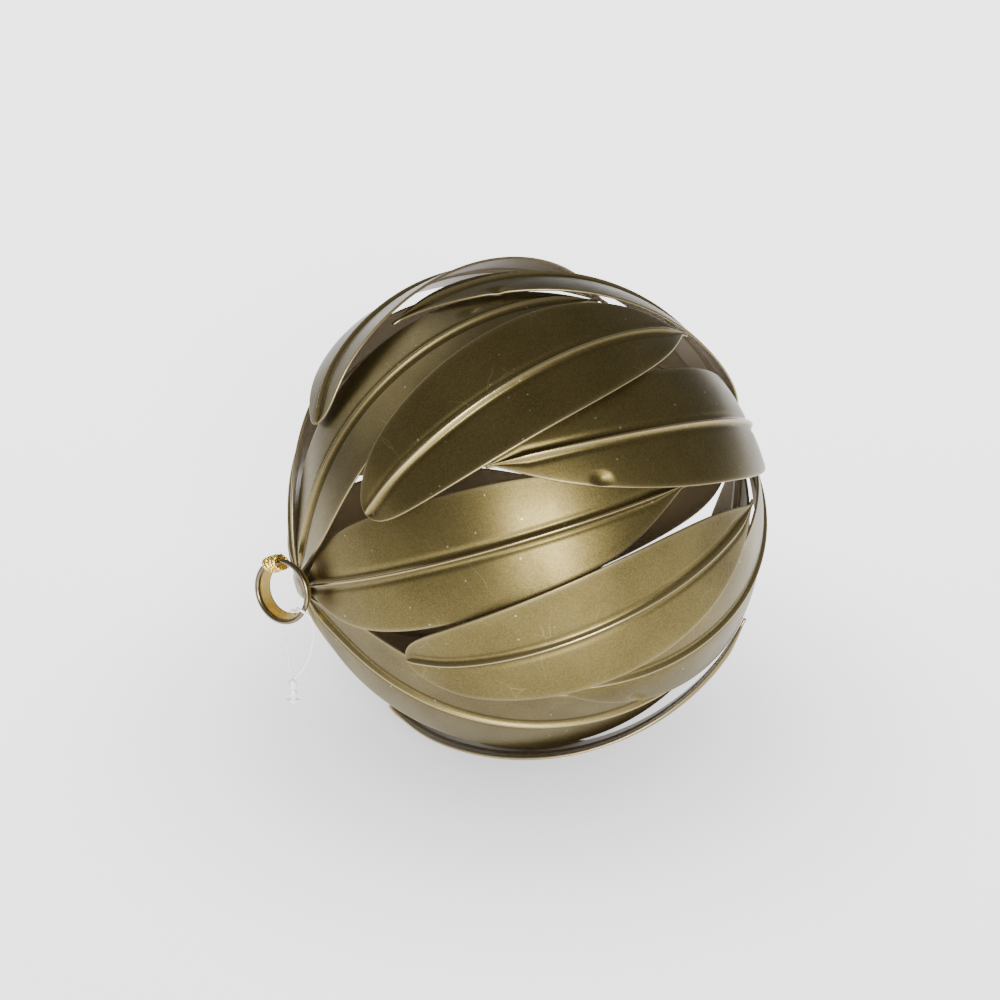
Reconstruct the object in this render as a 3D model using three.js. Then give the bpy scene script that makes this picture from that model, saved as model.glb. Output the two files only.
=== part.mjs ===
// Hanging ornament ball made of stamped sheet-metal leaves laid over each other around a hollow
// sphere, with a short ring at one pole and a clear tag loop through the ring.
// Millimetres, +Z up. The ball lies on its side, where its leaves are pressed a little flat, and the
// origin is on the surface it lies on, under the middle of its box.
import * as THREE from 'three';
import { mergeVertices } from 'three/addons/utils/BufferGeometryUtils.js';

// The ball and how it lies
const BALL_CENTRE = new THREE.Vector3(1.92, 0.05, 43.95);
const POLE_AZIMUTH = 203.3; // degrees from +X, where the ring's pole points
const POLE_DIP = 8.2; // degrees below level
const POLE_ROLL = 121.9; // degrees about the pole, from the underside to the side of the first leaf
const SHEET = 0.5; // thickness of the lacquered sheet

// The leaves: lens-shaped stampings with a raised rib, bent to the ball along their length and
// flatter than it across
const LEAVES_IN_A_SET = 6;
const LEAF_HALF_WIDTH = 11.1;
const LEAF_POINT_HALF_WIDTH = 0.5; // the tips and stems are cut a little blunt
const TIP_FULLNESS = 0.62; // lower is fuller towards the tip
const STEM_REACH = 0.08; // share of the length over which a stemmed leaf swells from its stem
const STEM_SWELL = 1.3;
const STEM_ROLL = -4; // degrees more roll at a stem, so that the stems lie over each other
const STEM_ROLL_REACH = 0.2; // share of the length over which that roll fades out
const FLARE_REACH = 0.1; // share of the length over which a flare at the stem fades out
const RIB_HALF_WIDTH = 1.3;
const RIB_HEIGHT = 0.65;
const RIB_SHARE = 0.36; // most of the leaf's half width that the rib takes, near the tips
const SWAY_BACK = 0.73; // share of the length, from the stem, where a swaying rib is back on its line
const EDGE_STRIP = 0.8; // share of the half width where the outermost strip of the sheet starts
const STEPS_ALONG = 14;
const STRIPS_EACH_SIDE = 3; // of the rib: its own flank, the blade and the edge strip

// Where each set lies: the radius at its rib and the two ends of the leaf in degrees from the ring's
// pole; the end with its base, whether the base has a stem, how full the leaf is towards it, how far
// it flares out there, and the share of the length that the tip is drawn to its point over; the first
// leaf's turn about the pole, the slant of each leaf to the meridian, its roll about its rib, its bow
// as a share of the ball's own curve, how many degrees the rib sways sideways on its way from the
// stem, and how far off the surface the set stays where the ball is pressed flat underneath
const LEAF_SETS = [
  {
    name: 'ring_end_leaf', radius: 42.9, from: 1.7, to: 115,
    base: 'from', stem: true, fullness: 0.3, flare: 1.2, tipReach: 0.09,
    turn: -7, slants: [0, 0, 0, 0, 0, 0], roll: -3, bow: 0.5, sway: 0, floor: 0.85,
  },
  {
    name: 'far_end_leaf', radius: 43.8, from: 68.5, to: 178.3,
    base: 'to', stem: true, fullness: 0.3, flare: 0, tipReach: 0.06,
    turn: 9, slants: [0, 0, 0, 0, 0, 0], roll: -2, bow: 0.95, sway: 13, floor: 0,
  },
  {
    name: 'outer_leaf', radius: 45.35, from: 36.5, to: 135,
    base: 'from', stem: false, fullness: 0.45, flare: 0, tipReach: 0.07,
    turn: 29, slants: [9.5, 15, 18, 15, 20, 9.5], roll: 0, bow: 0.15, sway: 0, floor: 0,
  },
];

// The hanging ring at the pole: a short tapered collar with a rolled rim at its mouth, soldered on at
// a tilt
const RING_MOUTH_RADIUS = 5.35; // inside, at the rim
const RING_BACK_RADIUS = 4.4; // inside, at the other end
const RING_WALL = 0.5;
const RING_LENGTH = 2.8;
const RING_RIM_RADIUS = 0.45;
const RING_RISE = 48.4; // from the ball's centre along the pole to the ring's centre
const RING_SHIFT = 4.0; // sideways from the pole
const RING_TILT = 38; // degrees between the ring's axis and the pole
const RING_SIDES = 24;
const RING_RIM_ROLL = { from: -40, to: 220, step: 52 }; // degrees round the rim's own centre

// The tinsel wire wound round the collar, and the solder that holds the leaf stems at each pole
const WRAP_WIRE_RADIUS = 0.25;
const WRAP_TURNS = 4;
const WRAP_PITCH = 0.75;
const WRAP_CLEARANCE = 0.4;
const WRAP_SIDES = 5;
const WRAP_STEPS_A_TURN = 10;
const SOLDER_GAP = 0.3; // between the solder and the ribs of the stems
const RING_SOLDER = { reach: 3.9, width: 3.0, height: 0.9, shift: 2.4 };
const FAR_SOLDER = { reach: 3.0, width: 3.0, height: 0.8, shift: 0 };
const SOLDER_SIDES = 14;
const SOLDER_RINGS = 8;

// The clear nylon tag loop: it goes up in front of the ring, in over the rim, through the collar, out
// at the back and down again to its lock. The route is measured from the ball's centre.
const LOOP_RADIUS = 0.225;
const LOOP_SIDES = 8;
const LOOP_STEPS = 42;
const LOOP_ROUTE = [
  [-41.8, -25, -21.4], [-40.6, -25, -20.1], [-39.5, -25.2, -18.2], [-38.7, -25.3, -16.2],
  [-38.2, -25.7, -14], [-37.8, -26, -11.6], [-37.9, -26.5, -9.3], [-38.41, -26.96, -7.47],
  [-39.12, -27.41, -6.52], [-39.74, -27.42, -6.05], [-40.24, -26.99, -5.95], [-40.5, -26.25, -6.19],
  [-40.59, -25.41, -6.77], [-40.9, -24.42, -7.59], [-41.39, -23.29, -8.34], [-41.79, -22.27, -8.79],
  [-42.04, -21.49, -9.32], [-42.31, -21.09, -9.94], [-42.68, -21.09, -10.65], [-43.03, -21.28, -11.58],
  [-43.19, -21.57, -12.64], [-43.2, -22, -13.9], [-43, -22.9, -15.6], [-42.8, -23.5, -17.3],
  [-42.6, -24.1, -19.3], [-42.4, -24.6, -21.4],
];
const LOCK_TOP = [-42.1, -24.8, -21.8];
const LOCK_LENGTH = 5.4;
const LOCK_PROFILE = [ // radius, and share of the length from the top: a barbed point below two beads
  [0, 1], [1.3, 0.78], [0.4, 0.74], [0.8, 0.55], [0.4, 0.38], [0.8, 0.2], [0.4, 0.02], [0, 0],
];
const LOCK_SIDES = 10;

const LACQUER = new THREE.MeshStandardMaterial({ color: 0x8a7b4f, metalness: 0.85, roughness: 0.4 });
const GOLD = new THREE.MeshStandardMaterial({ color: 0xb79a4e, metalness: 0.95, roughness: 0.25 });
const TINSEL = new THREE.MeshStandardMaterial({ color: 0xe3c766, metalness: 1.0, roughness: 0.2 });
const SOLDER = new THREE.MeshStandardMaterial({ color: 0x77705c, metalness: 0.7, roughness: 0.5 });
const NYLON = new THREE.MeshStandardMaterial({
  color: 0xe9e9e4,
  roughness: 0.3,
  transparent: true,
  opacity: 0.4,
});

const degrees = THREE.MathUtils.degToRad;

// Turns the ball's own frame, pole along +Z, to the way it lies.
const poleTurn = new THREE.Quaternion().setFromEuler(
  new THREE.Euler(0, degrees(90 + POLE_DIP), degrees(POLE_AZIMUTH), 'ZYX'),
).multiply(new THREE.Quaternion().setFromAxisAngle(new THREE.Vector3(0, 0, 1), degrees(POLE_ROLL)));
const upInBall = new THREE.Vector3(0, 0, 1).applyQuaternion(poleTurn.clone().invert());

// Direction at an angle from the ring's pole and a turn about it, in the ball's own frame.
function onSphere(fromPole, turn) {
  return new THREE.Vector3(
    Math.sin(fromPole) * Math.cos(turn),
    Math.sin(fromPole) * Math.sin(turn),
    Math.cos(fromPole),
  );
}

// Leaves only the places of the points, joined where they coincide, and sets the normals again.
function joined(geometry) {
  geometry.deleteAttribute('normal');
  geometry.deleteAttribute('uv');
  const closed = mergeVertices(geometry);
  closed.computeVertexNormals();
  return closed;
}

// A closed box grid moved point by point: shape(u, v, side) gives the place of a point, with u and v
// from 0 to 1 along and across the sheet and side -1 inside and 1 outside.
function bentSheet(stepsAlong, stepsAcross, shape) {
  const closed = joined(new THREE.BoxGeometry(1, 1, 1, stepsAlong, stepsAcross, 1));
  const at = closed.getAttribute('position');
  for (let i = 0; i < at.count; i += 1) {
    const point = shape(at.getX(i) + 0.5, at.getY(i) + 0.5, 2 * at.getZ(i));
    at.setXYZ(i, point.x, point.y, point.z);
  }
  closed.computeVertexNormals();
  return closed;
}

// Share of the length between a leaf's base and a point at a share s of the way from the ring's end.
function fromBase(s, set) {
  return set.base === 'from' ? s : 1 - s;
}

// Half width of a leaf: a sine raised to its fullness, pinched to a stem and drawn out to its tip.
function leafHalfWidth(s, set) {
  const base = fromBase(s, set);
  const lens = Math.sin(Math.PI * s) ** (base < 0.5 ? set.fullness : TIP_FULLNESS);
  const stem = set.stem ? 1 - Math.exp(-((base / STEM_REACH) ** STEM_SWELL)) : 1;
  const tip = 1 - Math.exp((base - 1) / set.tipReach);
  return Math.max(LEAF_POINT_HALF_WIDTH, LEAF_HALF_WIDTH * lens * stem * tip);
}

// One leaf of a set. Its rib follows a great circle, with its sway, and its width lies across it.
function leafGeometry(set, index) {
  const turn = degrees(set.turn + (360 / LEAVES_IN_A_SET) * index);
  const middle = degrees((set.from + set.to) / 2);
  const arc = degrees(set.to - set.from);
  const centre = onSphere(middle, turn);
  const south = onSphere(middle + Math.PI / 2, turn);
  const east = onSphere(Math.PI / 2, turn + Math.PI / 2);
  const slant = degrees(set.slants[index]);
  const along = south.clone().multiplyScalar(Math.cos(slant)).addScaledVector(east, Math.sin(slant));
  const across = east.clone().multiplyScalar(Math.cos(slant)).addScaledVector(south, -Math.sin(slant));

  return bentSheet(STEPS_ALONG, 2 * STRIPS_EACH_SIDE, (u, v, side) => {
    const s = (u + (1 - Math.cos(Math.PI * u)) / 2) / 2;
    const base = fromBase(s, set);
    const half = leafHalfWidth(s, set);
    const extraRoll = set.stem ? STEM_ROLL * Math.exp(-((base / STEM_ROLL_REACH) ** 2)) : 0;
    const tilt = Math.tan(degrees(set.roll + extraRoll));
    const radius = set.radius + set.flare * Math.exp(-((base / FLARE_REACH) ** 2));
    const rib = Math.min(RIB_HALF_WIDTH, RIB_SHARE * half);
    const column = Math.round(2 * STRIPS_EACH_SIDE * v) - STRIPS_EACH_SIDE;
    const offset = Math.sign(column) * [0, rib, EDGE_STRIP * half, half][Math.abs(column)];
    const swing = arc * (s - 0.5);
    const sway = degrees(set.sway) * (1 - s) * (1 - s - SWAY_BACK);
    const outward = centre.clone()
      .multiplyScalar(Math.cos(swing) * Math.cos(sway))
      .addScaledVector(along, Math.sin(swing) * Math.cos(sway))
      .addScaledVector(across, Math.sin(sway));
    const normal = outward.clone()
      .addScaledVector(across, (set.bow * offset) / set.radius - tilt)
      .normalize();
    const raised = column === 0 ? (RIB_HEIGHT * rib) / RIB_HALF_WIDTH : 0;
    const sheet = outward.clone()
      .multiplyScalar(radius + tilt * offset - (set.bow * offset ** 2) / (2 * set.radius))
      .addScaledVector(across, offset)
      .addScaledVector(normal, raised);
    const outer = sheet.clone().addScaledVector(normal, SHEET / 2);
    const lift = Math.max(0, set.floor - BALL_CENTRE.z - outer.dot(upInBall));
    return sheet.addScaledVector(normal, (side * SHEET) / 2).addScaledVector(upInBall, lift);
  });
}

// The collar is a closed wall profile turned about its axis, which is then laid along +Z.
function ringGeometry() {
  const back = -RING_LENGTH / 2;
  const rimCentre = new THREE.Vector2(
    RING_MOUTH_RADIUS + RING_WALL / 2,
    RING_LENGTH / 2 - RING_RIM_RADIUS,
  );
  const rim = [];
  for (let angle = RING_RIM_ROLL.from; angle <= RING_RIM_ROLL.to; angle += RING_RIM_ROLL.step) {
    const onRim = new THREE.Vector2(Math.cos(degrees(angle)), Math.sin(degrees(angle)));
    rim.push(onRim.multiplyScalar(RING_RIM_RADIUS).add(rimCentre));
  }
  const start = new THREE.Vector2(RING_BACK_RADIUS + RING_WALL, back);
  const profile = [start, ...rim, new THREE.Vector2(RING_BACK_RADIUS, back), start.clone()];
  return joined(new THREE.LatheGeometry(profile, RING_SIDES)).rotateX(Math.PI / 2);
}

// A thin tube with flat ends along a curve.
function wireGeometry(curve, radius, sides, steps) {
  const section = new THREE.Shape();
  for (let side = 0; side < sides; side += 1) {
    const turn = (2 * Math.PI * side) / sides;
    const to = [radius * Math.cos(turn), radius * Math.sin(turn)];
    if (side === 0) section.moveTo(...to);
    else section.lineTo(...to);
  }
  return joined(new THREE.ExtrudeGeometry(section, { steps, extrudePath: curve }));
}

// The wire's turns are flat ovals around the collar's wall, stepping along the rim.
class WrapCurve extends THREE.Curve {
  getPoint(t) {
    const away = WRAP_CLEARANCE + WRAP_WIRE_RADIUS;
    const turn = 2 * Math.PI * WRAP_TURNS * t;
    const middle = (RING_MOUTH_RADIUS + RING_BACK_RADIUS + RING_WALL) / 2;
    const taper = (RING_MOUTH_RADIUS - RING_BACK_RADIUS) / 2;
    const radial = middle + taper * Math.sin(turn) + (RING_RIM_RADIUS + away) * Math.cos(turn);
    const axial = (RING_LENGTH / 2 + away) * Math.sin(turn);
    const along = Math.PI / 2 + (WRAP_PITCH * WRAP_TURNS * (t - 0.5)) / middle;
    return new THREE.Vector3(radial * Math.cos(along), radial * Math.sin(along), axial);
  }
}

// A flattened drop of solder that lies on a sphere of the given radius, at the +Z or -Z pole.
function solderGeometry(drop, radius, pole) {
  const geometry = joined(new THREE.SphereGeometry(1, SOLDER_SIDES, SOLDER_RINGS));
  geometry.scale(drop.reach, drop.width, drop.height).translate(drop.shift, 0, pole * radius);
  const at = geometry.getAttribute('position');
  const point = new THREE.Vector3();
  for (let i = 0; i < at.count; i += 1) {
    point.fromBufferAttribute(at, i);
    point.setLength(Math.max(point.length(), radius));
    at.setXYZ(i, point.x, point.y, point.z);
  }
  geometry.computeVertexNormals();
  return geometry;
}

// The lock is its profile turned about its length, which hangs along -Z.
function lockGeometry() {
  const profile = LOCK_PROFILE.map(([radius, share]) => new THREE.Vector2(radius, -share * LOCK_LENGTH));
  return joined(new THREE.LatheGeometry(profile, LOCK_SIDES)).rotateX(Math.PI / 2);
}

const ball = new THREE.Group();
ball.position.copy(BALL_CENTRE);
ball.quaternion.copy(poleTurn);
for (const set of LEAF_SETS) {
  for (let index = 0; index < LEAVES_IN_A_SET; index += 1) {
    const leaf = new THREE.Mesh(leafGeometry(set, index), LACQUER);
    leaf.name = `${set.name}_${index + 1}`;
    ball.add(leaf);
  }
}

const ring = new THREE.Group();
ring.position.set(RING_SHIFT, 0, RING_RISE);
ring.rotation.y = degrees(RING_TILT);
const collar = new THREE.Mesh(ringGeometry(), GOLD);
collar.name = 'hanging_ring';
const wrapSteps = WRAP_STEPS_A_TURN * WRAP_TURNS;
const wrap = new THREE.Mesh(wireGeometry(new WrapCurve(), WRAP_WIRE_RADIUS, WRAP_SIDES, wrapSteps), TINSEL);
wrap.name = 'tinsel_wrap';
ring.add(collar, wrap);

const [ringEndLeaves, farEndLeaves] = LEAF_SETS;
const clearOfStems = (set) => set.radius + set.flare + SHEET / 2 + RIB_HEIGHT / 2 + SOLDER_GAP;
const ringSolder = new THREE.Mesh(solderGeometry(RING_SOLDER, clearOfStems(ringEndLeaves), 1), SOLDER);
ringSolder.name = 'ring_solder';
const farSolder = new THREE.Mesh(solderGeometry(FAR_SOLDER, clearOfStems(farEndLeaves), -1), SOLDER);
farSolder.name = 'far_end_solder';
ball.add(ring, ringSolder, farSolder);

const tag = new THREE.Group();
tag.position.copy(BALL_CENTRE);
const route = new THREE.CatmullRomCurve3(LOOP_ROUTE.map((point) => new THREE.Vector3(...point)));
const loop = new THREE.Mesh(wireGeometry(route, LOOP_RADIUS, LOOP_SIDES, LOOP_STEPS), NYLON);
loop.name = 'tag_loop';
const lock = new THREE.Mesh(lockGeometry(), NYLON);
lock.name = 'tag_lock';
lock.position.set(...LOCK_TOP);
tag.add(loop, lock);

const part = new THREE.Group();
part.add(ball, tag);
export default part;
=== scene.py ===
import bpy
import numpy as np
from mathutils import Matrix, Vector


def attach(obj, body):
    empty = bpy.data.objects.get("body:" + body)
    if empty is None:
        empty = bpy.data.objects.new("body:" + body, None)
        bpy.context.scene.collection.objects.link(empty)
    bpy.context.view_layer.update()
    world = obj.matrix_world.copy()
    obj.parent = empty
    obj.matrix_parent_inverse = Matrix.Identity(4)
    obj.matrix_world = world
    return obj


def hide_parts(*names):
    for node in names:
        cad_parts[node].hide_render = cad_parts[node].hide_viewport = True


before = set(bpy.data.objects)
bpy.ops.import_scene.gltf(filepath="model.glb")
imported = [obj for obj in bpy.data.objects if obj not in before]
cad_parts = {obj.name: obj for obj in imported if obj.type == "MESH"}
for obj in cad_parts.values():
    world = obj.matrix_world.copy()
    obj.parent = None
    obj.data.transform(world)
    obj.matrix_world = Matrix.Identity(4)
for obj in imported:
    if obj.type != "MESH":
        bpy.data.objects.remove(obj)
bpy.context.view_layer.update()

# The view: a long lens a little above the ball, looking along +Y and aimed at the ball's centre. The
# shift puts the ball just right of the middle of the picture. Lengths are in millimetres.
MM = 0.001
BALL_CENTRE = np.array([1.92, 0.05, 43.95])
VIEW_ELEVATION = np.radians(27.5)
VIEW_DISTANCE = 540.0
VIEW_SENSOR = 36.0
VIEW_LENS = 105.3
VIEW_SHIFT = (-0.0255, 0.009)
VIEW_CLIP = (0.01, 20.0)
camera_data = bpy.data.cameras.new("photo_camera")
camera_data.sensor_width = VIEW_SENSOR
camera_data.lens = VIEW_LENS
camera_data.shift_x, camera_data.shift_y = VIEW_SHIFT
camera_data.clip_start, camera_data.clip_end = VIEW_CLIP
camera = bpy.data.objects.new("photo_camera", camera_data)
towards_camera = np.array([0.0, -np.cos(VIEW_ELEVATION), np.sin(VIEW_ELEVATION)])
camera.location = (BALL_CENTRE + VIEW_DISTANCE * towards_camera) * MM
camera.rotation_mode = "QUATERNION"
camera.rotation_quaternion = Vector(-towards_camera).to_track_quat("-Z", "Y")
bpy.context.collection.objects.link(camera)
bpy.context.scene.camera = camera

# The tag loop: one clear nylon filament, moulded with its lock. It goes up in front of the ring, in
# over the rim, through the collar, out at the back and down to the lock, and hangs free.
LOOP_RADIUS = 0.225
LOOP_STEPS = 300
LOOP_AROUND = 14
LOOP_START_SIDE = np.array([0.0, 1.0, 0.0])
LOOP_ROUTE = BALL_CENTRE + np.array([
    [-41.8, -25.0, -21.4], [-40.6, -25.0, -20.1], [-39.5, -25.2, -18.2], [-38.7, -25.3, -16.2],
    [-38.2, -25.7, -14.0], [-37.8, -26.0, -11.6], [-37.9, -26.5, -9.3], [-38.41, -26.96, -7.47],
    [-39.12, -27.41, -6.52], [-39.74, -27.42, -6.05], [-40.24, -26.99, -5.95], [-40.5, -26.25, -6.19],
    [-40.59, -25.41, -6.77], [-40.9, -24.42, -7.59], [-41.39, -23.29, -8.34], [-41.79, -22.27, -8.79],
    [-42.04, -21.49, -9.32], [-42.31, -21.09, -9.94], [-42.68, -21.09, -10.65], [-43.03, -21.28, -11.58],
    [-43.19, -21.57, -12.64], [-43.2, -22.0, -13.9], [-43.0, -22.9, -15.6], [-42.8, -23.5, -17.3],
    [-42.6, -24.1, -19.3], [-42.4, -24.6, -21.4],
])
NYLON_COLOUR = (0.97, 0.97, 0.96, 1)
NYLON_INDEX = 1.5
NYLON_CLEARNESS = 0.25
NYLON_HAZE_SCALE = 900.0
NYLON_ROUGHNESS = (0.12, 0.3)


def smooth_path(route, steps):
    """Points on a curve through the route: between two of its points, a cubic whose slopes come from
    the points on either side, weighted by the square root of their distances, as on a bent wire."""
    ends = np.vstack([2 * route[0] - route[1], route, 2 * route[-1] - route[-2]])
    knot = np.concatenate([[0.0], np.cumsum(np.linalg.norm(np.diff(ends, axis=0), axis=1) ** 0.5)])
    at = np.linspace(knot[1], knot[-2], steps)
    i = np.clip(np.searchsorted(knot, at, side="right") - 1, 1, len(route) - 1)
    p = [ends[i + k] for k in (-1, 0, 1, 2)]
    t = [knot[i + k][:, None] for k in (-1, 0, 1, 2)]
    x = at[:, None]

    def between(a, b, ta, tb):
        return (a * (tb - x) + b * (x - ta)) / (tb - ta)

    first = [between(p[k], p[k + 1], t[k], t[k + 1]) for k in range(3)]
    second = [between(first[k], first[k + 1], t[k], t[k + 2]) for k in range(2)]
    return between(second[0], second[1], t[1], t[2])


def tube(path, radius, around, start_side):
    """A round tube along a path: at each point a circle across the path's direction. Each circle's
    first axis is the one before it with its part along the path taken out, so the tube never twists."""
    ahead = np.gradient(path, axis=0)
    ahead /= np.linalg.norm(ahead, axis=1)[:, None]
    side = np.empty_like(path)
    side[0] = start_side
    for k in range(len(path)):
        side[k] = side[max(k - 1, 0)] - ahead[k] * (side[max(k - 1, 0)] @ ahead[k])
        side[k] /= np.linalg.norm(side[k])
    up = np.cross(ahead, side)
    turn = np.linspace(0, 2 * np.pi, around, endpoint=False)
    spread = np.broadcast_to(np.asarray(radius, float), len(path))[:, None, None]
    circle = np.cos(turn)[None, :, None] * side[:, None] + np.sin(turn)[None, :, None] * up[:, None]
    return path[:, None] + spread * circle


def wrapped_mesh(name, points, joined_ends=False, **values):
    """A mesh from a grid of points in millimetres, first index along and second index around. The
    grid closes around, and along it either closes too or ends in one flat face at each end."""
    along, around = points.shape[:2]
    index = np.arange(along * around).reshape(along, around)
    if joined_ends:
        index = np.vstack([index, index[:1]])
    here, beside = index, np.roll(index, -1, axis=1)
    quads = np.stack([here[:-1], beside[:-1], beside[1:], here[1:]], axis=-1).reshape(-1, 4)
    ends = [] if joined_ends else [index[0, ::-1].tolist(), index[-1].tolist()]
    mesh = bpy.data.meshes.new(name)
    mesh.from_pydata((points.reshape(-1, 3) * MM).tolist(), [], quads.tolist() + ends)
    for label, value in values.items():
        store = mesh.attributes.new(label, "FLOAT", "POINT")
        store.data.foreach_set("value", np.ascontiguousarray(value, np.float32).ravel())
    mesh.polygons.foreach_set("use_smooth", [True] * len(quads) + [False] * len(ends))
    piece = bpy.data.objects.new(name, mesh)
    bpy.context.collection.objects.link(piece)
    return piece


def new_material(name):
    """A material with its node tree and its Principled shader."""
    material = bpy.data.materials.new(name)
    material.use_nodes = True
    return material, material.node_tree, material.node_tree.nodes["Principled BSDF"]


def add(tree, kind, links=None, **values):
    """A node with the given properties and socket values, and its inputs linked from other sockets."""
    node = tree.nodes.new("ShaderNode" + kind)
    for label, value in values.items():
        if hasattr(node, label):
            setattr(node, label, value)
        else:
            node.inputs[label.replace("_", " ")].default_value = value
    for label, source in (links or {}).items():
        tree.links.new(source, node.inputs[label])
    return node


def ranged(tree, factor, low, high):
    """The value between two values, by a factor socket from 0 to 1."""
    return add(tree, "MapRange", {"Value": factor}, To_Min=low, To_Max=high).outputs["Result"]


nylon, nylon_tree, nylon_shader = new_material("clear_nylon")
nylon_shader.inputs["Base Color"].default_value = NYLON_COLOUR
nylon_shader.inputs["IOR"].default_value = NYLON_INDEX
nylon_shader.inputs["Transmission Weight"].default_value = NYLON_CLEARNESS
nylon_at = add(nylon_tree, "TexCoord").outputs["Object"]
nylon_haze = add(nylon_tree, "TexNoise", {"Vector": nylon_at}, Scale=NYLON_HAZE_SCALE).outputs["Fac"]
nylon_tree.links.new(
    ranged(nylon_tree, nylon_haze, *NYLON_ROUGHNESS), nylon_shader.inputs["Roughness"])

loop_path = smooth_path(LOOP_ROUTE, LOOP_STEPS)
tag_loop = wrapped_mesh("nylon_tag_loop", tube(loop_path, LOOP_RADIUS, LOOP_AROUND, LOOP_START_SIDE))
tag_loop.data.materials.append(nylon)
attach(tag_loop, "root")
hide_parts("tag_loop")

# The lock of the tag loop: two small beads and a barbed point, moulded in one with the filament, on
# which both strands end. The barb is a flat arrowhead that can't be pulled back through its bead.
LOCK_TOP = BALL_CENTRE + np.array([-42.1, -24.8, -21.8])
LOCK_LENGTH = 5.4
# shares of the length, with the radius there
LOCK_PROFILE = np.array([
    [0.0, 0.05], [0.02, 0.42], [0.08, 0.62], [0.15, 0.78], [0.22, 0.8], [0.3, 0.66], [0.38, 0.4],
    [0.45, 0.58], [0.52, 0.78], [0.58, 0.76], [0.66, 0.5], [0.72, 0.4], [0.755, 0.55],
    [0.78, 1.22], [0.8, 1.2], [0.86, 0.82], [0.93, 0.44], [1.0, 0.05],
])
LOCK_BARB_FROM = 0.73
LOCK_BARB_FLATNESS = 0.45
LOCK_BEAD_FLATNESS = 0.9
LOCK_STEPS = 70
LOCK_AROUND = 24
lock_turn = np.linspace(0, 2 * np.pi, LOCK_AROUND, endpoint=False)
lock_down = np.interp(
    np.linspace(0, 1, LOCK_STEPS), np.linspace(0, 1, len(LOCK_PROFILE)), LOCK_PROFILE[:, 0])
lock_reach = np.interp(lock_down, LOCK_PROFILE[:, 0], LOCK_PROFILE[:, 1])
lock_flat = np.where(lock_down > LOCK_BARB_FROM, LOCK_BARB_FLATNESS, LOCK_BEAD_FLATNESS)
lock_points = LOCK_TOP + np.stack([
    lock_reach[:, None] * np.cos(lock_turn),
    lock_flat[:, None] * lock_reach[:, None] * -np.sin(lock_turn),
    np.broadcast_to(-lock_down[:, None] * LOCK_LENGTH, (LOCK_STEPS, LOCK_AROUND)),
], axis=-1)
tag_lock = wrapped_mesh("nylon_tag_lock", lock_points)
tag_lock.data.materials.append(nylon)
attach(tag_lock, "root")
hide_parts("tag_lock")

# The leaves: stamped sheet steel with a pressed rib, bent round the ball and sprayed with satin
# bronze-gold lacquer. Three sets of six lie over each other and are spot-welded where they touch.
POLE_AZIMUTH = np.radians(203.3)
POLE_DIP = np.radians(8.2)
POLE_ROLL = np.radians(121.9)
SHEET = 0.5
LEAVES_IN_A_SET = 6
NO_SLANT = [0.0] * LEAVES_IN_A_SET
LEAF_HALF_WIDTH = 11.1
LEAF_POINT_HALF_WIDTH = 0.5
TIP_FULLNESS = 0.62
STEM_REACH = 0.08
STEM_SWELL = 1.3
STEM_ROLL = -4.0
STEM_ROLL_REACH = 0.2
FLARE_REACH = 0.1
SWAY_BACK = 0.73
END_DIP_REACH = 0.09
RIB_HALF_WIDTH = 1.3
RIB_HEIGHT = 0.65
RIB_SHARE = 0.36
# the rib's section, in its own half-widths: the bead's width and steepness, then its side valleys
BEAD_WIDTH, BEAD_STEEPNESS = 0.36, 2.2
VALLEY_DEPTH, VALLEY_AT, VALLEY_WIDTH = 0.25, 0.9, 0.42
# angles in degrees: start and end from the ring's pole, turn about it, slants, roll and sway
LEAF_SETS = {
    "ring_end_leaf": dict(
        radius=42.9, start=1.7, end=115.0, base="start", stem=True, fullness=0.3, flare=1.2,
        tip_reach=0.09, turn=-7.0, slants=NO_SLANT, roll=-3.0, bow=0.5, sway=0.0, floor=0.85,
        dips=(0.0, 0.0),
    ),
    "far_end_leaf": dict(
        radius=43.8, start=68.5, end=178.3, base="end", stem=True, fullness=0.3, flare=0.0,
        tip_reach=0.06, turn=9.0, slants=NO_SLANT, roll=-2.0, bow=0.95, sway=13.0, floor=0.0,
        dips=(0.0, 0.0),
    ),
    "outer_leaf": dict(
        radius=45.35, start=36.5, end=135.0, base="start", stem=False, fullness=0.45, flare=0.0,
        tip_reach=0.07, turn=29.0, slants=[9.5, 15.0, 18.0, 15.0, 20.0, 9.5], roll=0.0, bow=0.15,
        sway=0.0, floor=0.0, dips=(1.2, 0.2),
    ),
}
# pressed weld spots: share of the length, millimetres from the rib, radius and depth
WELD_SPOTS = {f"far_end_leaf_{k + 1}": [(0.215, -6.7, 1.25, 0.6)] for k in range(LEAVES_IN_A_SET)}
WELD_SPOTS["ring_end_leaf_2"] = [(0.722, 3.5, 1.1, 0.5)]
WELD_STEEPNESS = 4
# how far in from the edge the lighter band reaches: partly wear, partly a painted highlight
EDGE_WEAR_AND_SHEEN_REACH = 0.3
LEAF_STEPS = 110
RIB_COLUMNS = 41
RIB_COLUMNS_REACH = 2.1
RIB_COLUMNS_MOST = 0.9
BLADE_COLUMNS = 18
EDGE_COLUMNS = 7


def turned(axis, angle):
    """The matrix that turns by an angle about axis 1 (y) or 2 (z)."""
    c, s = np.cos(angle), np.sin(angle)
    if axis == 1:
        return np.array([[c, 0, s], [0, 1, 0], [-s, 0, c]])
    return np.array([[c, -s, 0], [s, c, 0], [0, 0, 1]])


lying = turned(2, POLE_AZIMUTH) @ turned(1, np.pi / 2 + POLE_DIP) @ turned(2, POLE_ROLL)
up_in_ball = lying.T @ np.array([0.0, 0.0, 1.0])


def on_sphere(from_pole, turn):
    """Direction at an angle from the ring's pole and a turn about it, in the ball's own frame."""
    level = np.sin(from_pole)
    return np.array([level * np.cos(turn), level * np.sin(turn), np.cos(from_pole)])


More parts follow.
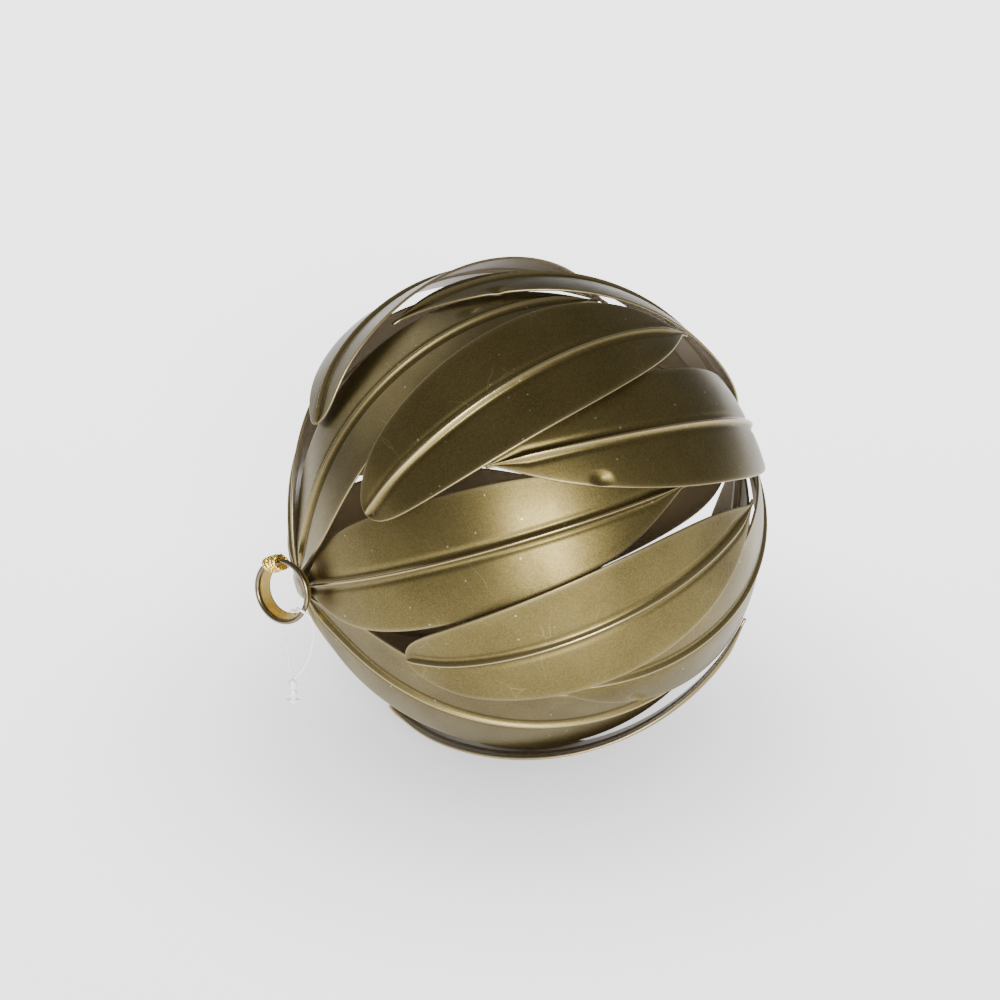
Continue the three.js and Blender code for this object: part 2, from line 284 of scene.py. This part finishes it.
def leaf_half_width(s, base, shape):
    """A sine raised to its fullness, pinched to a stem by a rounded rise from nothing, and drawn out
    to its tip by an exponential fall."""
    lens = np.sin(np.pi * s) ** np.where(base < 0.5, shape["fullness"], TIP_FULLNESS)
    stem = 1 - np.exp(-((base / STEM_REACH) ** STEM_SWELL)) if shape["stem"] else 1.0
    tip = 1 - np.exp((base - 1) / shape["tip_reach"])
    return np.maximum(LEAF_POINT_HALF_WIDTH, LEAF_HALF_WIDTH * lens * stem * tip)


def leaf_section(half, rib):
    """Columns across the sheet at each step: offsets over the outer face, round one rolled edge, back
    under the inner face and round the other edge, with the share of half the thickness they lie at."""
    blade_end = half - SHEET / 2
    inner_end = np.minimum(RIB_COLUMNS_REACH * rib, RIB_COLUMNS_MOST * blade_end)
    rib_part = np.linspace(-1, 1, RIB_COLUMNS)[None, :] * inner_end[:, None]
    share = np.linspace(0, 1, BLADE_COLUMNS + 1)[None, 1:]
    blade = inner_end[:, None] + share * (blade_end - inner_end)[:, None]
    face = np.hstack([-blade[:, ::-1], rib_part, blade])
    bend = np.linspace(np.pi / 2, -np.pi / 2, EDGE_COLUMNS + 2)[None, 1:-1]
    edge = blade_end[:, None] + SHEET / 2 * np.cos(bend)
    offset = np.hstack([face, edge, face[:, ::-1], -edge[:, ::-1]])
    height = np.hstack([
        np.ones_like(face), np.broadcast_to(np.sin(bend), edge.shape),
        -np.ones_like(face), np.broadcast_to(np.sin(bend)[:, ::-1], edge.shape),
    ])
    return offset, height


def leaf_points(shape, index, spots):
    """One leaf: its rib follows a great circle, with its sway, and its width lies across it with a
    slight bow. The rib is a raised bead between two shallow valleys, the weld spots are flat-bottomed
    dents, and the ends may dip towards the ball. Points that would go under the surface the ball lies
    on are lifted to it. Returns the places and the masks that the lacquer reads."""
    turn = np.radians(shape["turn"] + 360 / LEAVES_IN_A_SET * index)
    middle = np.radians((shape["start"] + shape["end"]) / 2)
    arc = np.radians(shape["end"] - shape["start"])
    slant = np.radians(shape["slants"][index])
    centre, south = on_sphere(middle, turn), on_sphere(middle + np.pi / 2, turn)
    east = on_sphere(np.pi / 2, turn + np.pi / 2)
    along = south * np.cos(slant) + east * np.sin(slant)
    across = east * np.cos(slant) - south * np.sin(slant)

    # from end to start, so that the faces point outwards, with closer steps at both ends
    u = np.linspace(1, 0, LEAF_STEPS)
    s = (u + (1 - np.cos(np.pi * u)) / 2) / 2
    base = s if shape["base"] == "start" else 1 - s
    half = leaf_half_width(s, base, shape)
    rib = np.minimum(RIB_HALF_WIDTH, RIB_SHARE * half)
    offset, height = leaf_section(half, rib)
    extra_roll = STEM_ROLL * np.exp(-((base / STEM_ROLL_REACH) ** 2)) if shape["stem"] else 0 * base
    tilt = np.tan(np.radians(shape["roll"] + extra_roll))[:, None]
    dip = sum(
        deep * np.exp(-((far / END_DIP_REACH) ** 2))
        for deep, far in zip(shape["dips"], (base, 1 - base)))
    radius = (shape["radius"] + shape["flare"] * np.exp(-((base / FLARE_REACH) ** 2)) - dip)[:, None]
    swing = arc * (s - 0.5)
    sway = np.radians(shape["sway"]) * (1 - s) * (1 - s - SWAY_BACK)
    outward = (
        np.outer(np.cos(swing) * np.cos(sway), centre) + np.outer(np.sin(swing) * np.cos(sway), along)
        + np.outer(np.sin(sway), across)
    )[:, None, :]
    normal = outward + (shape["bow"] * offset / shape["radius"] - tilt)[..., None] * across
    normal /= np.linalg.norm(normal, axis=-1, keepdims=True)
    x = np.abs(offset) / rib[:, None]
    bead = (np.exp(-((x / BEAD_WIDTH) ** BEAD_STEEPNESS))
            - VALLEY_DEPTH * np.exp(-(((x - VALLEY_AT) / VALLEY_WIDTH) ** 2)))
    raised = RIB_HEIGHT * (rib / RIB_HALF_WIDTH)[:, None] * bead
    for where, side, spot_radius, depth in spots:
        reach = np.hypot(arc * shape["radius"] * (s - where)[:, None], offset - side)
        raised = raised - depth * np.exp(-((reach / spot_radius) ** WELD_STEEPNESS))
    level = radius + tilt * offset - shape["bow"] * offset ** 2 / (2 * shape["radius"])
    sheet = outward * level[..., None] + across * offset[..., None] + normal * raised[..., None]
    outer = sheet + normal * SHEET / 2
    lift = np.maximum(0, shape["floor"] - BALL_CENTRE[2] - outer @ up_in_ball)
    points = sheet + normal * (height * SHEET / 2)[..., None] + lift[..., None] * up_in_ball
    masks = {
        "inside": np.clip(-height, 0, 1),
        "edge": np.exp(-((half[:, None] - np.abs(offset)) / EDGE_WEAR_AND_SHEEN_REACH)),
        "crest": np.clip(bead, 0, 1),
    }
    return BALL_CENTRE + points @ lying.T, masks


def new_group(name, inputs, outputs):
    """A shader node group with named float inputs and outputs, and its object coordinates."""
    group = bpy.data.node_groups.new(name, "ShaderNodeTree")
    for label, value in inputs.items():
        socket = group.interface.new_socket(label, in_out="INPUT", socket_type="NodeSocketFloat")
        socket.default_value = value
    for label in outputs:
        group.interface.new_socket(label, in_out="OUTPUT", socket_type="NodeSocketFloat")
    entry, result = group.nodes.new("NodeGroupInput"), group.nodes.new("NodeGroupOutput")
    return group, entry.outputs, result.inputs, add(group, "TexCoord").outputs["Object"]


def reckoned(tree, operation, first, second=0.0):
    """The result of a sum on a value socket and either another socket or a plain number."""
    node = add(tree, "Math", {0: first}, operation=operation)
    if isinstance(second, float):
        node.inputs[1].default_value = second
    else:
        tree.links.new(second, node.inputs[1])
    return node.outputs["Value"]


# the metal flakes in a lacquer: a value per flake and the fine height of the sprayed surface
flakes, flakes_in, flakes_out, flakes_at = new_group(
    "metal_flakes", {"Scale": 5000.0}, ["Flake", "Height"])
flakes_cells = add(flakes, "TexVoronoi", {"Vector": flakes_at, "Scale": flakes_in["Scale"]})
flakes_value = add(flakes, "SeparateColor", {"Color": flakes_cells.outputs["Color"]})
flakes_noise = add(flakes, "TexNoise", {"Vector": flakes_at, "Scale": flakes_in["Scale"]}, Detail=2.0)
flakes.links.new(flakes_value.outputs["Red"], flakes_out["Flake"])
flakes.links.new(flakes_noise.outputs["Fac"], flakes_out["Height"])

# the marks of handling: soft clouds in the finish, thin curved scratches and a few specks of dust
CLOUD_RANGE = (0.3, 0.7)
SCRATCH_WANDER = 0.005
SCRATCH_WIDTH = 0.009
SCRATCHED_CLOUD = (0.52, 0.6)
SPECKS_TO_SCRATCHES = 4.0
SPECK_EDGE = (0.05, 0.11)
SPECKS_LEFT_OUT = 0.72
handling, handling_in, handling_out, handling_at = new_group(
    "handling", {"Cloud Scale": 60.0, "Mark Scale": 100.0}, ["Cloud", "Scratch", "Speck"])
cloud_noise = add(
    handling, "TexNoise", {"Vector": handling_at, "Scale": handling_in["Cloud Scale"]}, Detail=5.0)
cloud_range = add(
    handling, "MapRange", {"Value": cloud_noise.outputs["Fac"]},
    From_Min=CLOUD_RANGE[0], From_Max=CLOUD_RANGE[1])
handling.links.new(cloud_range.outputs["Result"], handling_out["Cloud"])
scratch_noise = add(
    handling, "TexNoise", {"Vector": handling_at, "Scale": handling_in["Mark Scale"]}, Detail=1.0)
scratch_push = add(
    handling, "VectorMath", {0: scratch_noise.outputs["Color"]}, operation="SCALE", Scale=SCRATCH_WANDER)
scratch_at = add(
    handling, "VectorMath", {0: handling_at, 1: scratch_push.outputs["Vector"]}, operation="ADD")
scratch_lines = add(
    handling, "TexVoronoi", {"Vector": scratch_at.outputs["Vector"], "Scale": handling_in["Mark Scale"]},
    feature="DISTANCE_TO_EDGE")
scratch_thin = add(
    handling, "MapRange", {"Value": scratch_lines.outputs["Distance"]},
    From_Max=SCRATCH_WIDTH, To_Min=1.0, To_Max=0.0)
scratch_here = add(
    handling, "MapRange", {"Value": cloud_noise.outputs["Fac"]},
    From_Min=SCRATCHED_CLOUD[0], From_Max=SCRATCHED_CLOUD[1])
scratch_share = reckoned(
    handling, "MULTIPLY", scratch_thin.outputs["Result"], scratch_here.outputs["Result"])
handling.links.new(scratch_share, handling_out["Scratch"])
speck_scale = reckoned(handling, "MULTIPLY", handling_in["Mark Scale"], SPECKS_TO_SCRATCHES)
speck_cells = add(handling, "TexVoronoi", {"Vector": handling_at, "Scale": speck_scale})
speck_dot = add(
    handling, "MapRange", {"Value": speck_cells.outputs["Distance"]},
    From_Min=SPECK_EDGE[0], From_Max=SPECK_EDGE[1], To_Min=1.0, To_Max=0.0)
speck_pick = add(handling, "SeparateColor", {"Color": speck_cells.outputs["Color"]})
speck_kept = reckoned(handling, "GREATER_THAN", speck_pick.outputs["Green"], SPECKS_LEFT_OUT)
speck_share = reckoned(handling, "MULTIPLY", speck_dot.outputs["Result"], speck_kept)
handling.links.new(speck_share, handling_out["Speck"])


def place(tree, group, **values):
    """The output sockets of a shared group used in a material, with its own values."""
    node = tree.nodes.new("ShaderNodeGroup")
    node.node_tree = group
    for label, value in values.items():
        node.inputs[label.replace("_", " ")].default_value = value
    return node.outputs


def mixed(tree, factor, low, high, share=1.0):
    """The colour between two colours or colour sockets, by a factor socket times a share."""
    part = ranged(tree, factor, 0.0, share)
    node = add(tree, "Mix", data_type="RGBA")
    tree.links.new(part, node.inputs["Factor"])
    for label, value in (("A", low), ("B", high)):
        socket = [i for i in node.inputs if i.name == label and i.type == "RGBA"][0]
        if isinstance(value, tuple):
            socket.default_value = value + (1.0,)
        else:
            tree.links.new(value, socket)
    return [o for o in node.outputs if o.type == "RGBA"][0]


def attribute(tree, name):
    """The value of one of the piece's own point attributes."""
    return add(tree, "Attribute", attribute_name=name).outputs["Fac"]


LACQUER_COLOURS = (0.072, 0.054, 0.015), (0.12, 0.092, 0.03)
LACQUER_ROUGHNESS = (0.42, 0.34)
CREST_ROUGHNESS = 0.25
LACQUER_METAL = (0.95, 0.5)
lacquer, lacquer_tree, lacquer_shader = new_material("bronze_gold_lacquer")
lacquer_flakes = place(lacquer_tree, flakes, Scale=5500.0)
lacquer_marks = place(lacquer_tree, handling, Cloud_Scale=75.0, Mark_Scale=110.0)
lacquer_crest = attribute(lacquer_tree, "crest")
lacquer_inside = attribute(lacquer_tree, "inside")
lacquer_colour = mixed(lacquer_tree, lacquer_marks["Cloud"], *LACQUER_COLOURS)
# over the clouds: metal flakes, scratches, dust, a crest partly rubbed and partly a painted highlight,
# edges partly worn and partly a painted highlight, thin coat on the inside
for mask, colour, share in [
    (lacquer_flakes["Flake"], (0.34, 0.28, 0.13), 0.17),
    (lacquer_marks["Scratch"], (0.36, 0.31, 0.19), 0.25),
    (lacquer_marks["Speck"], (0.7, 0.65, 0.52), 0.35),
    # the rib's crest made lighter: partly rubbed, partly a painted highlight like the lamp's line on it
    (lacquer_crest, (0.42, 0.34, 0.17), 0.6),
    # the edges made lighter: partly wear, partly a painted highlight along the rolled edge
    (attribute(lacquer_tree, "edge"), (0.45, 0.37, 0.2), 0.5),
    (lacquer_inside, (0.27, 0.21, 0.12), 1.0),
]:
    lacquer_colour = mixed(lacquer_tree, mask, lacquer_colour, colour, share)
lacquer_tree.links.new(lacquer_colour, lacquer_shader.inputs["Base Color"])
lacquer_tree.links.new(
    ranged(lacquer_tree, lacquer_inside, *LACQUER_METAL), lacquer_shader.inputs["Metallic"])
lacquer_satin = ranged(lacquer_tree, lacquer_marks["Cloud"], *LACQUER_ROUGHNESS)
lacquer_rough = add(
    lacquer_tree, "MapRange", {"Value": lacquer_crest, "To Min": lacquer_satin}, To_Max=CREST_ROUGHNESS)
lacquer_tree.links.new(lacquer_rough.outputs["Result"], lacquer_shader.inputs["Roughness"])
lacquer_bump = add(
    lacquer_tree, "Bump", {"Height": lacquer_flakes["Height"]}, Strength=0.15, Distance=0.00005)
lacquer_tree.links.new(lacquer_bump.outputs["Normal"], lacquer_shader.inputs["Normal"])

for set_name, shape in LEAF_SETS.items():
    for index in range(LEAVES_IN_A_SET):
        node = f"{set_name}_{index + 1}"
        points, masks = leaf_points(shape, index, WELD_SPOTS.get(node, []))
        leaf = wrapped_mesh(f"lacquered_{node}", points, **masks)
        leaf.data.materials.append(lacquer)
        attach(leaf, "root")
        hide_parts(node)

# The hanging ring: a short tapered collar of gold-plated brass with a rolled rim at its mouth, soldered
# to the stems at a tilt. The hook or cord that hangs the ball goes through it.
RING_MOUTH_RADIUS = 5.35
RING_BACK_RADIUS = 4.4
RING_WALL = 0.5
RING_LENGTH = 2.8
RING_RIM_RADIUS = 0.45
RING_RIM_ARC = (-40, 220)
RING_BACK_ARC = (190, 350)
RING_RISE = 48.4
RING_SHIFT = 4.0
RING_TILT = np.radians(38)
RING_RIM_STEPS = 21
RING_BACK_STEPS = 9
RING_WALL_STEPS = 10
RING_AROUND = 120
GOLD_COLOURS = (0.46, 0.34, 0.1), (0.62, 0.48, 0.18)
RIM_COLOUR = (0.17, 0.14, 0.09)
GOLD_ROUGHNESS = (0.42, 0.27)


def ring_place(points):
    """From the ring's own frame, its axis along +Z, to the row frame: tilted, set at the pole, laid."""
    return BALL_CENTRE + (points @ turned(1, RING_TILT).T + [RING_SHIFT, 0, RING_RISE]) @ lying.T


def arc_profile(centre, radius, start, end, steps):
    """Points of radius and height on an arc about a centre, between two angles in degrees."""
    angle = np.radians(np.linspace(start, end, steps))
    return np.array(centre) + radius * np.stack([np.cos(angle), np.sin(angle)], axis=-1)


def turned_profile(profile, around):
    """A closed profile of radius and height carried round the +Z axis."""
    turn = np.linspace(0, 2 * np.pi, around, endpoint=False)[:, None]
    return np.stack([
        profile[None, :, 0] * np.cos(turn), profile[None, :, 0] * np.sin(turn),
        np.broadcast_to(profile[None, :, 1], (around, len(profile))),
    ], axis=-1)


rim_centre = (RING_MOUTH_RADIUS + RING_WALL / 2, RING_LENGTH / 2 - RING_RIM_RADIUS)
ring_rim = arc_profile(rim_centre, RING_RIM_RADIUS, *RING_RIM_ARC, RING_RIM_STEPS)
back_centre = (RING_BACK_RADIUS + RING_WALL / 2, -RING_LENGTH / 2 + RING_WALL / 2)
ring_back = arc_profile(back_centre, RING_WALL / 2, *RING_BACK_ARC, RING_BACK_STEPS)
wall_share = np.linspace(0, 1, RING_WALL_STEPS)[1:-1, None]
ring_profile = np.vstack([
    ring_rim, ring_rim[-1] + wall_share * (ring_back[0] - ring_rim[-1]),
    ring_back, ring_back[-1] + wall_share * (ring_rim[0] - ring_back[-1]),
])[::-1]
ring_rim_mask = np.clip((ring_profile[:, 1] - rim_centre[1]) / RING_RIM_RADIUS + 1.0, 0, 1)
ring = wrapped_mesh(
    "gold_hanging_ring", ring_place(turned_profile(ring_profile, RING_AROUND)), joined_ends=True,
    rim=np.broadcast_to(ring_rim_mask, (RING_AROUND, len(ring_profile))))
gold, gold_tree, gold_shader = new_material("ring_gold_plate")
gold_marks = place(gold_tree, handling, Cloud_Scale=320.0, Mark_Scale=300.0)
gold_rim = attribute(gold_tree, "rim")
gold_colour = mixed(gold_tree, gold_marks["Cloud"], *GOLD_COLOURS)
gold_colour = mixed(gold_tree, gold_rim, gold_colour, RIM_COLOUR)
gold_tree.links.new(gold_colour, gold_shader.inputs["Base Color"])
gold_tree.links.new(ranged(gold_tree, gold_rim, *GOLD_ROUGHNESS), gold_shader.inputs["Roughness"])
gold_shader.inputs["Metallic"].default_value = 1.0
ring.data.materials.append(gold)
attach(ring, "root")
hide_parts("hanging_ring")

# The tinsel on the ring: crinkled gold lametta wire wound a few times round the collar's wall at the
# top, in close turns whose thickness comes and goes.
WRAP_WIRE_RADIUS = 0.25
WRAP_TURNS = 4
WRAP_PITCH = 0.75
WRAP_CLEARANCE = 0.52
WRAP_STEPS = 480
WRAP_AROUND = 10
WRAP_START_SIDE = np.array([0.0, 0.0, 1.0])
WRAP_SWELL = 1.15
WRAP_CRINKLE = 0.3
WRAP_CRINKLES = 17
WRAP_CRINKLE_BEAT = 2.3
TINSEL_COLOURS = (0.82, 0.55, 0.08), (1.0, 0.8, 0.26)
wrap_t = np.linspace(0, 1, WRAP_STEPS)
wrap_away = WRAP_CLEARANCE + WRAP_WIRE_RADIUS
wrap_turn = 2 * np.pi * WRAP_TURNS * wrap_t
wrap_middle = (RING_MOUTH_RADIUS + RING_BACK_RADIUS + RING_WALL) / 2
wrap_taper = (RING_MOUTH_RADIUS - RING_BACK_RADIUS) / 2
# an ellipse round the wall's section, leaning with its taper, that moves on along the ring
wrap_radial = (wrap_middle + wrap_taper * np.sin(wrap_turn)
               + (RING_RIM_RADIUS + wrap_away) * np.cos(wrap_turn))
wrap_axial = (RING_LENGTH / 2 + wrap_away) * np.sin(wrap_turn)
wrap_along = np.pi / 2 + WRAP_PITCH * WRAP_TURNS * (wrap_t - 0.5) / wrap_middle
wrap_path = np.stack(
    [wrap_radial * np.cos(wrap_along), wrap_radial * np.sin(wrap_along), wrap_axial], axis=-1)
wrap_crinkle = WRAP_WIRE_RADIUS * (
    WRAP_SWELL
    + WRAP_CRINKLE * np.sin(wrap_turn * WRAP_CRINKLES) * np.cos(wrap_turn * WRAP_CRINKLE_BEAT))
wrap_points = tube(wrap_path, wrap_crinkle, WRAP_AROUND, WRAP_START_SIDE)
wrap = wrapped_mesh("gold_tinsel_wrap", ring_place(wrap_points))
tinsel, tinsel_tree, tinsel_shader = new_material("gold_tinsel")
tinsel_flakes = place(tinsel_tree, flakes, Scale=3000.0)
tinsel_colour = mixed(tinsel_tree, tinsel_flakes["Flake"], *TINSEL_COLOURS)
tinsel_tree.links.new(tinsel_colour, tinsel_shader.inputs["Base Color"])
tinsel_bump = add(
    tinsel_tree, "Bump", {"Height": tinsel_flakes["Height"]}, Strength=0.6, Distance=0.0002)
tinsel_tree.links.new(tinsel_bump.outputs["Normal"], tinsel_shader.inputs["Normal"])
tinsel_shader.inputs["Metallic"].default_value = 1.0
tinsel_shader.inputs["Roughness"].default_value = 0.2
wrap.data.materials.append(tinsel)
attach(wrap, "root")
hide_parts("tinsel_wrap")

# The solder at the two poles: flattened drops that hold the stems of the leaves together and the ring
# on them, sprayed over with the lacquer and paler where it is thin.
SOLDER_GAP = 0.3
SOLDER_DROPS = {
    "ring_solder": dict(reach=3.9, width=3.0, height=0.9, shift=2.4, pole=1, stems="ring_end_leaf"),
    "far_end_solder": dict(reach=3.0, width=3.0, height=0.8, shift=0.0, pole=-1, stems="far_end_leaf"),
}
SOLDER_RIPPLE = 0.06
SOLDER_TOP = 0.02
SOLDER_STEPS = 40
SOLDER_AROUND = 64
SOLDER_COLOURS = (0.1, 0.08, 0.032), (0.22, 0.18, 0.1)


def solder_points(drop):
    """A flattened ball at the pole, rippled a little by a product of two waves, whose underside lies
    on the sphere just above the stems' ribs."""
    stems = LEAF_SETS[drop["stems"]]
    radius = stems["radius"] + stems["flare"] + SHEET / 2 + RIB_HEIGHT / 2 + SOLDER_GAP
    down = np.linspace(SOLDER_TOP, np.pi - SOLDER_TOP, SOLDER_STEPS)[:, None]
    turn = np.linspace(0, 2 * np.pi, SOLDER_AROUND, endpoint=False)[None, :]
    waves = np.sin(3 * turn + 4 * down) * np.sin(2 * turn - 3 * down)
    ripple = 1 - SOLDER_RIPPLE * (1 + waves) * np.sin(down)
    ball = np.stack([
        drop["reach"] * ripple * np.sin(down) * np.cos(turn) + drop["shift"],
        drop["width"] * ripple * np.sin(down) * np.sin(turn),
        drop["height"] * ripple * np.cos(down) + drop["pole"] * radius + 0 * turn,
    ], axis=-1)
    length = np.linalg.norm(ball, axis=-1, keepdims=True)
    return BALL_CENTRE + (ball * np.maximum(length, radius) / length) @ lying.T


solder, solder_tree, solder_shader = new_material("lacquered_solder")
solder_marks = place(solder_tree, handling, Cloud_Scale=500.0, Mark_Scale=300.0)
solder_colour = mixed(solder_tree, solder_marks["Cloud"], *SOLDER_COLOURS)
solder_tree.links.new(solder_colour, solder_shader.inputs["Base Color"])
solder_bump = add(
    solder_tree, "Bump", {"Height": solder_marks["Cloud"]}, Strength=0.4, Distance=0.0002)
solder_tree.links.new(solder_bump.outputs["Normal"], solder_shader.inputs["Normal"])
solder_shader.inputs["Metallic"].default_value = 0.7
solder_shader.inputs["Roughness"].default_value = 0.4
for node, drop in SOLDER_DROPS.items():
    lump = wrapped_mesh(f"drop_of_{node}", solder_points(drop)[::-1])
    lump.data.materials.append(solder)
    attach(lump, "root")
    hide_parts(node)

# The stage: a plain pale floor that glows a little, painted light that keeps it white beside the dark
# metal, brightest in a strip down the middle and dimmer to the sides and towards the front, with a
# painted shade under the ball and a painted pool of light in front, out of the picture. A soft lamp by
# the camera makes the bright band on the front leaves, and a weak one stands behind, in a dim room. Here
# in metres.
FLOOR_HALF = 6.0
FLOOR_COLOUR = (0.8, 0.8, 0.82, 1)
FLOOR_STRIP = 0.12
FLOOR_STRIP_SPREAD = 0.22
FLOOR_DIM = 0.3
# the reach of the painted shade under the ball, from the middle
PAINTED_SHADE_REACH = 0.1
FLOOR_DEPTH = (-0.2, 0.3)
FLOOR_FRONT_SHARE = 0.66
FLOOR_POOL_MIDDLE = (0.05, -0.27, 0.0)
FLOOR_POOL = 0.18
FLOOR_GLOW = (0.45, 0.45, 0.47), (2.75, 2.75, 2.8)
POOL_GLOW = (11.0, 11.0, 11.3)
LAMP_AIM = (0, 0, 0.04)
ROOM_COLOUR = (0.98, 0.98, 1.0, 1)
ROOM_LIGHT = 0.36
floor_mesh = bpy.data.meshes.new("pale_floor")
floor_mesh.from_pydata([
    (-FLOOR_HALF, -FLOOR_HALF, 0), (FLOOR_HALF, -FLOOR_HALF, 0),
    (FLOOR_HALF, FLOOR_HALF, 0), (-FLOOR_HALF, FLOOR_HALF, 0),
], [], [(0, 1, 2, 3)])
floor = bpy.data.objects.new("pale_floor", floor_mesh)
bpy.context.collection.objects.link(floor)


def eased(tree, value, near, far, low, high):
    """The value that goes smoothly from low to high as a value socket goes from near to far."""
    return add(
        tree, "MapRange", {"Value": value}, interpolation_type="SMOOTHSTEP",
        From_Min=near, From_Max=far, To_Min=low, To_Max=high).outputs["Result"]


paper, paper_tree, paper_shader = new_material("pale_floor")
paper_shader.inputs["Base Color"].default_value = FLOOR_COLOUR
paper_shader.inputs["Roughness"].default_value = 0.9
# the floor's emission is painted light: a glow with painted shade and a painted pool, not a lamp
paper_shader.inputs["Emission Strength"].default_value = 1.0
paper_at = add(paper_tree, "TexCoord").outputs["Object"]
paper_xyz = add(paper_tree, "SeparateXYZ", {"Vector": paper_at}).outputs
paper_side = reckoned(paper_tree, "ABSOLUTE", paper_xyz["X"])
paper_spread = reckoned(paper_tree, "MULTIPLY", paper_xyz["Y"], FLOOR_STRIP_SPREAD)
paper_off = reckoned(paper_tree, "SUBTRACT", paper_side, paper_spread)
# painted light: the glow is strongest in a strip down the middle, widening to the back, dimmer to the
# sides
paper_glow_strip = eased(paper_tree, paper_off, FLOOR_STRIP, FLOOR_DIM, 1.0, 0.0)
paper_under = add(paper_tree, "VectorMath", {0: paper_at}, operation="LENGTH").outputs["Value"]
# painted shade: the glow falls away under the ball, where its shadow lies
paper_outside_painted_shade = eased(paper_tree, paper_under, 0.0, PAINTED_SHADE_REACH, 0.0, 1.0)
# painted shade: the glow is weaker towards the front
paper_glow_front_dimming = eased(paper_tree, paper_xyz["Y"], *FLOOR_DEPTH, FLOOR_FRONT_SHARE, 1.0)
paper_share = reckoned(
    paper_tree, "MULTIPLY", reckoned(paper_tree, "MULTIPLY", paper_glow_strip, paper_outside_painted_shade), paper_glow_front_dimming)
paper_light = mixed(paper_tree, paper_share, *FLOOR_GLOW)
paper_front = add(paper_tree, "VectorMath", {0: paper_at}, operation="DISTANCE")
paper_front.inputs[1].default_value = FLOOR_POOL_MIDDLE
# painted light: a bright pool of glow in front of the ball, out of the picture
paper_painted_pool = eased(paper_tree, paper_front.outputs["Value"], 0.0, FLOOR_POOL, 1.0, 0.0)
paper_light = mixed(paper_tree, paper_painted_pool, paper_light, POOL_GLOW)
paper_tree.links.new(paper_light, paper_shader.inputs["Emission Color"])
floor.data.materials.append(paper)


def lamp(name, stand, size, watts):
    """A square soft lamp that stands at a point and faces the ball, in metres."""
    data = bpy.data.lights.new(name, "AREA")
    data.size = size
    data.energy = watts
    light = bpy.data.objects.new(name, data)
    light.location = stand
    light.rotation_mode = "QUATERNION"
    light.rotation_quaternion = (Vector(LAMP_AIM) - Vector(stand)).to_track_quat("-Z", "Y")
    bpy.context.collection.objects.link(light)


lamp("front_lamp", stand=(0.44, -2.8, 1.1), size=1.05, watts=165.0)
lamp("back_lamp", stand=(-2.0, 2.0, 1.3), size=2.0, watts=18.0)
room = bpy.data.worlds.new("studio")
room.use_nodes = True
room_light = room.node_tree.nodes["Background"]
room_light.inputs["Color"].default_value = ROOM_COLOUR
room_light.inputs["Strength"].default_value = ROOM_LIGHT
bpy.context.scene.world = room
